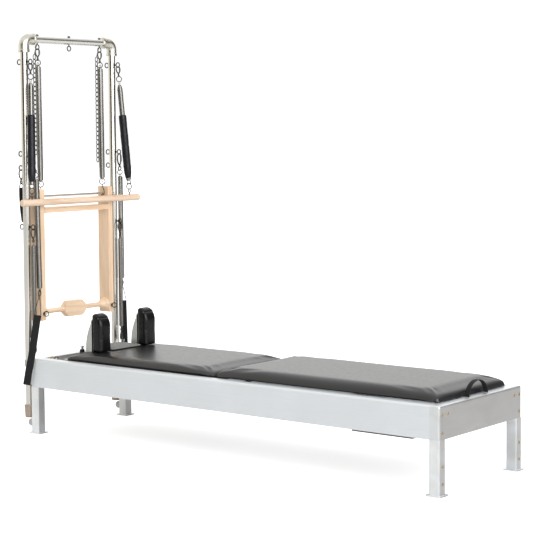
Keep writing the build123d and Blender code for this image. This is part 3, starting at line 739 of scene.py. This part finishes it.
def coordinates(mesh):
    found = np.zeros(len(mesh.vertices) * 3, np.float32)
    mesh.vertices.foreach_get("co", found)
    return found.reshape(-1, 3)


def set_coordinates(mesh, points):
    mesh.vertices.foreach_set("co", points.astype(np.float32).ravel())
    mesh.update()


def swell(made, held, pressure, cap):
    """Inflate a closed form as cloth with its held points fixed, and keep the shape."""
    group = made.vertex_groups.new(name="held")
    group.add([int(i) for i in np.nonzero(held)[0]], 1.0, "REPLACE")
    cloth = made.modifiers.new("Cloth", "CLOTH")
    settings = cloth.settings
    settings.quality = 4
    settings.mass = 0.4
    settings.use_pressure = True
    settings.uniform_pressure_force = pressure
    settings.effector_weights.gravity = 0
    settings.vertex_group_mass = group.name
    scene = bpy.context.scene
    for number in range(1, CLOTH_FRAMES + 1):
        scene.frame_set(number)
    result = coordinates(made.evaluated_get(bpy.context.evaluated_depsgraph_get()).data)
    rest = coordinates(made.data)
    move = result - rest
    length = np.linalg.norm(move, axis=1)
    move *= np.minimum(1.0, cap / np.maximum(length, 1e-9))[:, None]
    made.modifiers.remove(cloth)
    made.vertex_groups.clear()
    set_coordinates(made.data, rest + move)
    scene.frame_set(1)


def pillow(points, low, high, run, edge):
    """Slope the top down towards the sides over the run, so that the corners dip lowest."""
    share = np.clip((points[:, 2] - low.z) / (high.z - low.z), 0, 1)
    slope = np.ones(len(points))
    for axis in range(2):
        inside = np.minimum(points[:, axis] - low[axis], high[axis] - points[:, axis])
        t = np.clip(inside / run[axis], 0, 1)
        slope *= edge[axis] + (1 - edge[axis]) * (1 - (1 - t) ** 2.3) ** (1 / 2.3)
    points[:, 2] = low.z + share * (high.z - low.z) * slope


def arch(points, high, reach_x, reach_z):
    """Roll the top edge at the +X side over into a quarter of an ellipse."""
    from_x, from_z = high.x - reach_x, high.z - reach_z
    u = (points[:, 0] - from_x) / reach_x
    v = (points[:, 2] - from_z) / reach_z
    inside = (u > 0) & (v > 0)
    squeeze = np.where(inside, np.maximum(u, v) / np.maximum(np.hypot(u, v), 1e-6), 1.0)
    points[:, 0] = np.where(inside, from_x + u * squeeze * reach_x, points[:, 0])
    points[:, 2] = np.where(inside, from_z + v * squeeze * reach_z, points[:, 2])


def crease(points, low, high, depth, spread):
    """Small upholstery tucks that run down the corners of the sides."""
    for x in (low.x, high.x):
        for y in (low.y, high.y):
            near = np.hypot(points[:, 0] - x, points[:, 1] - y)
            around = np.arctan2(np.abs(points[:, 1] - y), np.abs(points[:, 0] - x))
            fold = np.cos(TUCKS * around) * np.exp(-((near - 0.02) / spread) ** 2)
            share = np.clip((points[:, 2] - low.z) / (high.z - low.z), 0, 1)
            points[:, 2] += depth * fold * share * (1 - share) * 2


def cushion(name, node, material, body, edges, cell, cap, run=None, edge=None,
            rolled=None, pressure=3.0, fold=0.0011):
    """A padded piece that swells from a smaller form of its CAD solid."""
    low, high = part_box(node)
    low = low + Vector((cap * 0.5, cap * 0.5, 0))
    high = high - Vector((cap * 0.5, cap * 0.5, cap))
    mesh = rounded_box(low, high, edges, (edges[0], edges[1], 0.006), cell)
    rest = coordinates(mesh).astype(float)
    if run:
        pillow(rest, low, high, run, edge)
    if rolled:
        arch(rest, high, *rolled)
    set_coordinates(mesh, rest)
    made = add_object(name, mesh)
    mesh.materials.append(material)
    mesh.shade_smooth()
    swell(made, rest[:, 2] < low.z + HELD_DEPTH, pressure, cap)
    done = coordinates(mesh).astype(float)
    crease(done, low, high, fold, 0.02)
    set_coordinates(mesh, done)
    smoother = made.modifiers.new("Subdivision", "SUBSURF")
    smoother.levels = 1
    smoother.render_levels = 1
    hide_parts(node)
    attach(made, body)
    return made


def cushions():
    """The carriage pad, the mat, the headrest and the two shoulder pads."""
    cushion("carriage_cushion", "carriage_pad", VINYL, "carriage",
            (0.020, 0.024, 0.012), 0.0078, 0.005, (0.105, 0.062), (0.40, 0.62))
    cushion("mat_cushion", "mat_pad", VINYL, "mat",
            (0.020, 0.024, 0.013), 0.0078, 0.005, (0.110, 0.062), (0.40, 0.58))
    cushion("headrest_cushion", "headrest", GREY, "headrest",
            (0.018, 0.018, 0.005), 0.005, 0.002, (0.03, 0.03), (0.75, 0.75))
    for name, side in SIDES:
        cushion(f"shoulder_cushion_{name}", f"shoulder_pad_{name}", SHOULDER,
                f"shoulder_rest_{name}",
                (0.0160, 0.019, 0.012), 0.004, 0.002, rolled=(0.050, 0.062),
                pressure=1.0, fold=0.0002)


# ---- hardware
def snap_hook(shape, top, bottom, across=(0, 1, 0), width=HOOK_WIDTH):
    """A pear-shaped snap hook from top down to its swivel eye at bottom."""
    top = Vector(top)
    axis = Vector(bottom) - top
    length = axis.length
    axis.normalize()
    across = Vector(across)
    across = (across - axis * across.dot(axis)).normalized()
    body = 0.66 * length
    path = []
    for k in range(36):
        angle = 2 * math.pi * k / 36
        down = body * (0.5 - 0.5 * math.cos(angle))
        half = width * math.sin(angle) * (1 - 0.35 * down / body)
        path.append(top + axis * down + across * half)
    shape.sweep(path, HOOK_WIRE, closed=True)
    gate_top = top + axis * body * 0.22 + across * width * 0.80
    gate_end = top + axis * body * 0.72 + across * width * 0.72
    shape.sweep([gate_top, gate_end], HOOK_WIRE * 1.25)
    shape.lathe(top + axis * (body - 0.002), axis,
                [(0, 0.0030), (0.001, 0.0046), (0.0075, 0.0046), (0.0085, 0.0030), (0.0105, 0.0026)], 16)
    eye = (length - body - 0.0085) / 2
    shape.loop(top + axis * (length - eye), axis.cross(across), eye - 0.001, HOOK_WIRE * 0.9)


def chain_links(shape, top, bottom, pitch=0.0215, half=0.0078, wire=0.0021):
    """A hanging chain of oval links, each turned a quarter from the last."""
    top = Vector(top)
    length = top.z - bottom
    for index in range(int(length / pitch)):
        centre = top - Vector((0, 0, pitch * (index + 0.5)))
        turned = (1, 0, 0) if index % 2 else (0, 1, 0)
        shape.loop(centre, turned, half, wire, steps=16, stretch=(pitch / 2 + wire) / half)


def spring_end(shape, coil_end, away, radius=0.006):
    """The wire that leaves a coil's last turn and closes into a loop."""
    coil_end = Vector(coil_end)
    away = Vector(away).normalized()
    shape.sweep([coil_end - away * 0.004, coil_end + away * 0.004], COIL_WIRE * 1.1)
    shape.loop(coil_end + away * (0.004 + radius), (1, 0, 0), radius, COIL_WIRE)


def inner_springs():
    """The long springs from the crossbar to the axle, with hook, ring and wire hook."""
    for name, side in SIDES:
        y = side * HANGER_Y
        eye = Vector((POST_X, y, BAR_Z - POST_RADIUS - 0.0175))
        hardware = Shape()
        snap_hook(hardware, eye - Vector((0, 0, EYE_INNER)), (POST_X + 0.002, y, 1.764))
        hardware.loop((POST_X + 0.002, y, INNER_COIL_TOP + 0.015), (0.6, -0.8, 0), 0.0130, 0.0021)
        hardware.loop((POST_X + 0.007, y, INNER_COIL_BOTTOM - 0.014), (0.6, -0.8, 0), 0.0145, RING_WIRE)
        rod = middle("push_axle")
        drop = [(POST_X + 0.007, y, 1.164), (rod.x + 0.002, y, 1.150), (rod.x + 0.010, y, 1.134),
                (rod.x + 0.011, y, rod.z + 0.002), (rod.x + 0.004, y, rod.z - 0.0095),
                (rod.x - 0.006, y, rod.z - 0.0085), (rod.x - 0.011, y, rod.z + 0.002)]
        hardware.sweep(smooth_path(drop, 6), 0.0020)
        piece(f"inner_hardware_{name}", hardware, ZINC, "frame")
        top = (POST_X + 0.003, y, INNER_COIL_TOP)
        bottom = (POST_X + 0.007, y, INNER_COIL_BOTTOM)
        wound = Shape()
        wound.coil(top, bottom, INNER_COIL_RADIUS, COIL_WIRE)
        spring_end(wound, top, (0, 0, 1))
        spring_end(wound, bottom, (0, 0, -1))
        piece(f"inner_coil_{name}", wound, SPRING, "frame", [f"inner_spring_{name}"])


def hanging_chains():
    """Two chains that hang from the crossbar's hooks behind the inner springs."""
    links = Shape()
    for (name, side), bottom in zip(SIDES, CHAIN_BOTTOMS):
        y = side * HANGER_Y
        start = Vector((POST_X - 0.021, y, CHAIN_TOP))
        links.sweep(smooth_path([(POST_X - 0.004, y, 1.836), (POST_X - 0.013, y, 1.815), start], 6), 0.0018)
        chain_links(links, start, bottom)
    piece("chain_links", links, CHAIN, "frame", ["chains"])


ARM_COIL = {
    "near": ((POST_X + 0.038, -0.269, 1.204), (POST_X + 0.053, -0.273, 0.684)),
    "far": ((POST_X + 0.026, 0.322, 1.203), (POST_X + 0.028, 0.324, 0.686)),
}
ARM_STRAP = {
    "near": ((POST_X + 0.068, -0.304, 0.562), (POST_X + 0.0625, -0.321, 0.463),
             (POST_X + 0.057, -0.338, 0.364), (POST_X + 0.042, -0.3425, 0.296),
             (POST_X + 0.029, -0.345, 0.232)),
    "far": ((POST_X + 0.036, 0.321, 0.576), (POST_X + 0.035, 0.3245, 0.500),
            (POST_X + 0.034, 0.328, 0.421), (POST_X + 0.024, 0.340, 0.364),
            (POST_X + 0.020, 0.342, 0.232)),
}
STRAP_RUN = (0.784, 0.62, 0)


def arm_springs():
    """The upper hanging springs with their hooks and webbing straps."""
    for name, side in SIDES:
        top, bottom = (Vector(p) for p in ARM_COIL[name])
        strap_top = Vector(ARM_STRAP[name][0])
        eye = Vector((FRONT_EYE_X, side * POST_Y, ARM_EYE_Z - EYE_INNER))
        towards = top - eye
        ring_at = eye + towards * 0.76
        upper = Shape()
        snap_hook(upper, eye, ring_at, (0, 1, 0.1))
        upper.loop(eye + towards * 0.84, (0.8, -0.6, 0), 0.0120, 0.0021)
        piece(f"arm_hook_upper_{name}", upper, ZINC, "frame")
        wound = Shape()
        wound.coil(top, bottom, ARM_COIL_RADIUS, COIL_WIRE)
        spring_end(wound, top, (eye - top))
        spring_end(wound, bottom, (bottom - top))
        stretched(f"arm_coil_{name}", wound, SPRING,
                  [f"arm_spring_{name}"])
        lower = Shape()
        hook_top = bottom + (bottom - top).normalized() * 0.009
        hook_bottom = hook_top + (strap_top - hook_top) * 0.34
        snap_hook(lower, hook_top, hook_bottom, width=SMALL_HOOK_WIDTH)
        run = Vector(STRAP_RUN)
        lower.sweep([hook_bottom - run * 0.004, strap_top - run * 0.0160, strap_top + run * 0.0160,
                     hook_bottom + run * 0.004], 0.0019, closed=True)
        piece(f"arm_hook_lower_{name}", lower, ZINC, f"arm_strap_{name}")
        cloth = Shape()
        path = smooth_path(ARM_STRAP[name], 12)
        webbing(cloth, path, STRAP_RUN, 0.0345, 0.0026)
        face = Vector((0.62, -0.784, 0)) * 0.0022
        for part in (path[int(len(path) * 0.66):], path[:int(len(path) * 0.16)]):
            webbing(cloth, [Vector(p) + face for p in part], STRAP_RUN, 0.0338, 0.0018)
        piece(f"arm_webbing_{name}", cloth, WEB, f"arm_strap_{name}",
              [f"arm_strap_{name}"])


def leg_springs():
    """The lower hanging springs with a snap hook at each end."""
    for name, side in SIDES:
        y = side * POST_Y
        eye = Vector((FRONT_EYE_X, y, LEG_EYE_Z - EYE_INNER))
        upper = Shape()
        snap_hook(upper, eye, eye - Vector((0, 0, 0.062)))
        piece(f"leg_hook_upper_{name}", upper, ZINC, "frame")
        top = Vector((FRONT_EYE_X, y, LEG_COIL_TOP))
        bottom = Vector((FRONT_EYE_X, y, LEG_COIL_BOTTOM))
        wound = Shape()
        wound.coil(top, bottom, LEG_COIL_RADIUS, LEG_COIL_WIRE)
        spring_end(wound, top, (0, 0, 1))
        spring_end(wound, bottom, (0, 0, -1), 0.005)
        stretched(f"leg_coil_{name}", wound, SPRING,
                  [f"leg_spring_{name}"])
        lower = Shape()
        snap_hook(lower, (FRONT_EYE_X, y, 0.380), (FRONT_EYE_X, y, LEG_COIL_BOTTOM - 0.010),
                  width=SMALL_HOOK_WIDTH)
        piece(f"leg_snap_{name}", lower, ZINC, f"leg_hook_{name}",
              [f"leg_hook_{name}"])


def back_webbing():
    """The strap behind the near post, hung on a snap hook."""
    low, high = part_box("back_strap")
    hook = Shape()
    eye_z = BACK_EYE_Z - EYE_INNER
    centre_x = (low.x + high.x) / 2
    centre_y = (low.y + high.y) / 2
    snap_hook(hook, (BACK_EYE_X, -POST_Y, eye_z), (BACK_EYE_X, -POST_Y, 1.182), (1, 0, 0))
    hook.loop((centre_x, centre_y, 1.170), (1, 0, 0), 0.011, 0.002)
    piece("back_hook", hook, ZINC, "frame")
    cloth = Shape()
    bottom = low.z + 0.002
    path = smooth_path([(centre_x, centre_y, 1.163), (centre_x - 0.002, centre_y, 1.12),
                        (centre_x, centre_y, 1.06), (centre_x + 0.003, centre_y + 0.004, bottom)], 10)
    webbing(cloth, path, (0, 1, 0), 0.026, 0.0055, across_end=(-0.5, 0.86, 0))
    piece("back_webbing", cloth, WEB, "frame", ["back_strap"])


def roll_down():
    """The roll-down bar's springs, padded sleeves, clevises and eye screws."""
    for name, side in SIDES:
        eye = Vector((FRONT_EYE_X, side * POST_Y, ROLL_EYE_Z - EYE_INNER))
        end = Vector((ROLL_X, side * ROLL_HOOK_Y, ROLL_Z + ROLL_RADIUS + 0.028))

        def at(z):
            return eye + (end - eye) * ((eye.z - z) / (eye.z - end.z))

        axis = (end - eye).normalized()
        upper = Shape()
        snap_hook(upper, eye, at(ROLL_COIL_TOP + 0.041))
        upper.loop(at(ROLL_COIL_TOP + 0.028), (0.8, -0.6, 0), 0.0130, RING_WIRE)
        piece(f"roll_hook_{name}", upper, ZINC, "roll_hanger")
        wound = Shape()
        wound.coil(at(ROLL_COIL_TOP), at(ROLL_COIL_BOTTOM), ROLL_COIL_RADIUS, COIL_WIRE, taper=(10, 4))
        spring_end(wound, at(ROLL_COIL_TOP), -axis)
        stretched(f"roll_coil_{name}", wound, SPRING)
        sleeve = Shape()
        length = (at(SLEEVE_TOP) - at(SLEEVE_BOTTOM)).length
        profile = [(0.000, 0.0152), (0.0015, 0.0178), (0.006, 0.0188)]
        steps = 40
        for k in range(1, steps):
            share = k / steps
            ripple = 0.0003 * math.sin(share * 23) + 0.0002 * math.sin(share * 61 + 1)
            draw = 0.0042 * max(0.0, (share - 0.86) / 0.14) ** 1.5
            profile.append((0.006 + share * (length - 0.010), SLEEVE_RADIUS + ripple - draw))
        profile += [(length - 0.002, 0.0142), (length, 0.0124)]
        sleeve.lathe(at(SLEEVE_TOP), axis, profile, 28)
        stretched(f"roll_sleeve_{name}", sleeve, SLEEVE,
                  [f"roll_spring_{name}"])
        lower = Shape()
        for step in (-0.0115, 0.0115):
            lower.sweep(smooth_path([at(SLEEVE_BOTTOM + 0.004) + Vector((0, step * 0.6, 0)),
                                     at(ROLL_COIL_BOTTOM) + Vector((0, step, 0)),
                                     at(CLEVIS_PIN - 0.002) + Vector((0, step, 0))], 4), RING_WIRE)
        pin = Vector((0, 0.0140, 0))
        lower.sweep([at(CLEVIS_PIN) - pin, at(CLEVIS_PIN) + pin], 0.0026)
        lower.loop(at(CLEVIS_PIN - 0.014), (0.8, -0.6, 0), 0.0125, RING_WIRE)
        foot = Vector((ROLL_X, side * ROLL_HOOK_Y, ROLL_Z + ROLL_RADIUS))
        lower.loop(foot + Vector((0, 0, 0.0175)), (0.2, 1, 0), 0.0085, 0.0020)
        lower.lathe(foot - Vector((0, 0, 0.001)), (0, 0, 1),
                    [(0, 0.0055), (0.0012, 0.0055), (0.002, 0.0028), (0.0095, 0.0026)], 16)
        piece(f"roll_fitting_{name}", lower, ZINC, "roll_bar",
              ["roll_bar_hooks"] if side < 0 else ())


def dome_screws():
    """Domed screws with a round socket, where the CAD has its plain heads."""
    heads = Shape()
    rows = [(FOOT, 1, (0.303, 0.321)), (FOOT, 1, (0.262, 0.321)), (FOOT, 1, (0.303, 0.250)),
            (FOOT, 1, (0.302, 0.118)), (FOOT, 1, (0.302, 0.048)),
            (HEAD, -1, (0.262, 0.321)), (HEAD, -1, (0.262, 0.250))]
    for face, outward, (y, z) in rows:
        for side in (-1, 1):
            start = (face - outward * 0.0004, side * y, z)
            profile = [(0, 0.0064), (0.0006, 0.0064), (0.0016, 0.0058), (0.0024, 0.0044),
                       (0.0028, 0.0031), (0.0027, 0.0026), (0.0012, 0.0024)]
            heads.lathe(start, (outward, 0, 0), profile, 24)
    piece("dome_screws", heads, BRASS, "frame", ["frame_screws"])


def tower_fittings():
    """Collars on the elbows, and nuts and washers on the eyebolts."""
    collars = Shape()
    for name, side in SIDES:
        low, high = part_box(f"elbow_{name}")
        inner_y = low.y if side > 0 else high.y
        rim = [(0.0005, 0.0262), (0.0015, 0.0275), (0.0125, 0.0275), (0.0140, 0.0262), (0.0150, 0.0245)]
        collars.lathe((POST_X, side * POST_Y, low.z - 0.0005), (0, 0, 1), [(0, 0.0190)] + rim, 40)
        collars.lathe((POST_X, inner_y - side * 0.0005, BAR_Z), (0, side, 0), [(0, 0.0180)] + rim, 40)
    piece("elbow_collars", collars, ELBOW, "frame")
    nuts = Shape()
    washer = [(0, 0.0070), (0.0015, 0.0070)]
    for name, side in SIDES:
        y = side * POST_Y
        for z in (ROLL_EYE_Z, ARM_EYE_Z, LEG_EYE_Z):
            nuts.lathe((POST_X + POST_RADIUS - 0.001, y, z), (1, 0, 0),
                       washer + [(0.0016, 0.0052), (0.0052, 0.0052)], 6)
        for z in (ROLL_EYE_Z, ARM_EYE_Z, BACK_EYE_Z, LEG_EYE_Z):
            nuts.lathe((POST_X - POST_RADIUS + 0.001, y, z), (-1, 0, 0),
                       washer + [(0.0016, 0.0048)], 6)
    for y in (-HANGER_Y, 0, HANGER_Y):
        nuts.lathe((POST_X, y, BAR_Z + POST_RADIUS - 0.001), (0, 0, 1),
                   [(0, 0.0076), (0.0018, 0.0076), (0.0019, 0.0062), (0.0060, 0.0062), (0.0072, 0.0040)], 6)
    piece("tower_nuts", nuts, ZINC, "frame")


def board_eyes():
    """Eyebolts through the push-through frame's boards, near their lower ends."""
    eyes = Shape()
    washer = [(0, 0.0075), (0.0022, 0.0075)]
    for name, side in SIDES:
        low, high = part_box(f"push_board_{name}")
        y = (low.y + high.y) / 2
        z = low.z + 0.034
        eyes.lathe((high.x - 0.001, y, z), (1, 0, 0), washer + [(0.0024, 0.0030), (0.0060, 0.0030)], 16)
        eyes.loop((high.x + 0.0165, y, z), (0.5, -0.8, 0.1), 0.0112, 0.0026)
        eyes.lathe((low.x + 0.001, y, z), (-1, 0, 0), washer + [(0.0024, 0.0055), (0.0065, 0.0055)], 6)
    piece("board_eyes", eyes, ZINC, "push_frame")


# ---- carriage and mat details
def mat_handle():
    """Webbing handle that stands as an arch at the mat's foot-end face."""
    low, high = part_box("mat_handle")
    half = (high.y - low.y) / 2 - 0.002
    rise = high.z - low.z - 0.002
    x = (low.x + high.x) / 2
    path = []
    for k in range(41):
        angle = math.pi * k / 40
        path.append((x, -half * math.cos(angle), low.z + rise * math.sin(angle)))
    cloth = Shape()
    webbing(cloth, path, (1, 0, 0), (high.x - low.x) * 0.98, STRAP_THICK)
    piece("handle_webbing", cloth, WEB, "mat", ["mat_handle"])


def carriage_trim():
    """The silver lip of the deck's head end, and the strap loops on the pegs."""
    low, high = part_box("carriage_deck")
    lip_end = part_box("carriage_pad")[0].x - 0.001
    lip = Shape()
    reach = 0.262
    rings = []
    for x, z in ((lip_end, high.z + 0.0012), (low.x + 0.004, high.z + 0.0012),
                 (low.x + 0.0006, high.z + 0.0002), (low.x - 0.0008, high.z - 0.0025),
                 (low.x - 0.0008, high.z - 0.021), (low.x + 0.0006, high.z - 0.021),
                 (low.x + 0.0006, high.z - 0.003), (lip_end, high.z - 0.0006)):
        rings.append([(x, y, z) for y in (-reach, -reach / 2, 0, reach / 2, reach)])
    lip.rings(rings, around=False, along=True, caps=False)
    count = len(rings)
    lip.faces.append(tuple(i * 5 for i in range(count)))
    lip.faces.append(tuple(i * 5 + 4 for i in reversed(range(count))))
    piece("deck_lip", lip, BRACKET, "carriage")
    low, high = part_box("peg_loops")
    loops = Shape()
    for name, side in SIDES:
        y = side * (high.y - 0.013)
        x = (low.x + high.x) / 2
        path = []
        for k in range(31):
            angle = math.pi * (0.30 + 1.40 * k / 30)
            path.append((x + 0.0105 * math.cos(angle + math.pi), y + 0.0105 * math.sin(angle + math.pi),
                         (low.z + high.z) / 2))
        webbing(loops, path, (0, 0, 1), high.z - low.z, STRAP_THICK)
    piece("peg_leather", loops, LEATHER, "carriage", ["peg_loops"])


def rope_rings():
    """Two small rings that stand on the near pulley at the head end."""
    low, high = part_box("pulley_near")
    centre = (low + high) / 2
    for name, x, lift, material, slot in (("brass", -0.014, 0.0105, BRASS, "brass_screw"),
                                          ("steel", 0.014, 0.0125, ZINC, "zinc_hardware")):
        ring = Shape()
        ring.loop((centre.x + x, centre.y, high.z + lift), (0.7, -0.7, 0.15), 0.0075, 0.0026, 24)
        ring.lathe((centre.x + x, centre.y, high.z - 0.001), (0, 0, 1),
                   [(0, 0.0040), (0.0010, 0.0046), (0.0030, 0.0044), (0.0040, 0.0030)], 16)
        piece(f"rope_ring_{name}", ring, material, "frame")


def under_springs():
    """The carriage springs under the deck."""
    low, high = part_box("carriage_springs")
    radius = (high.z - low.z) / 2
    z = (low.z + high.z) / 2
    wound = Shape()
    for index in range(4):
        y = low.y + radius + index * (high.y - low.y - 2 * radius) / 3
        wound.coil((high.x, y, z), (low.x, y, z), radius - 0.0005, CARRIAGE_COIL_WIRE)
    piece("carriage_coils", wound, SPRING, "carriage", ["carriage_springs"])


camera()
studio()
dress_nodes()
cushions()
inner_springs()
hanging_chains()
arm_springs()
leg_springs()
back_webbing()
roll_down()
dome_screws()
tower_fittings()
board_eyes()
mat_handle()
carriage_trim()
rope_rings()
under_springs()
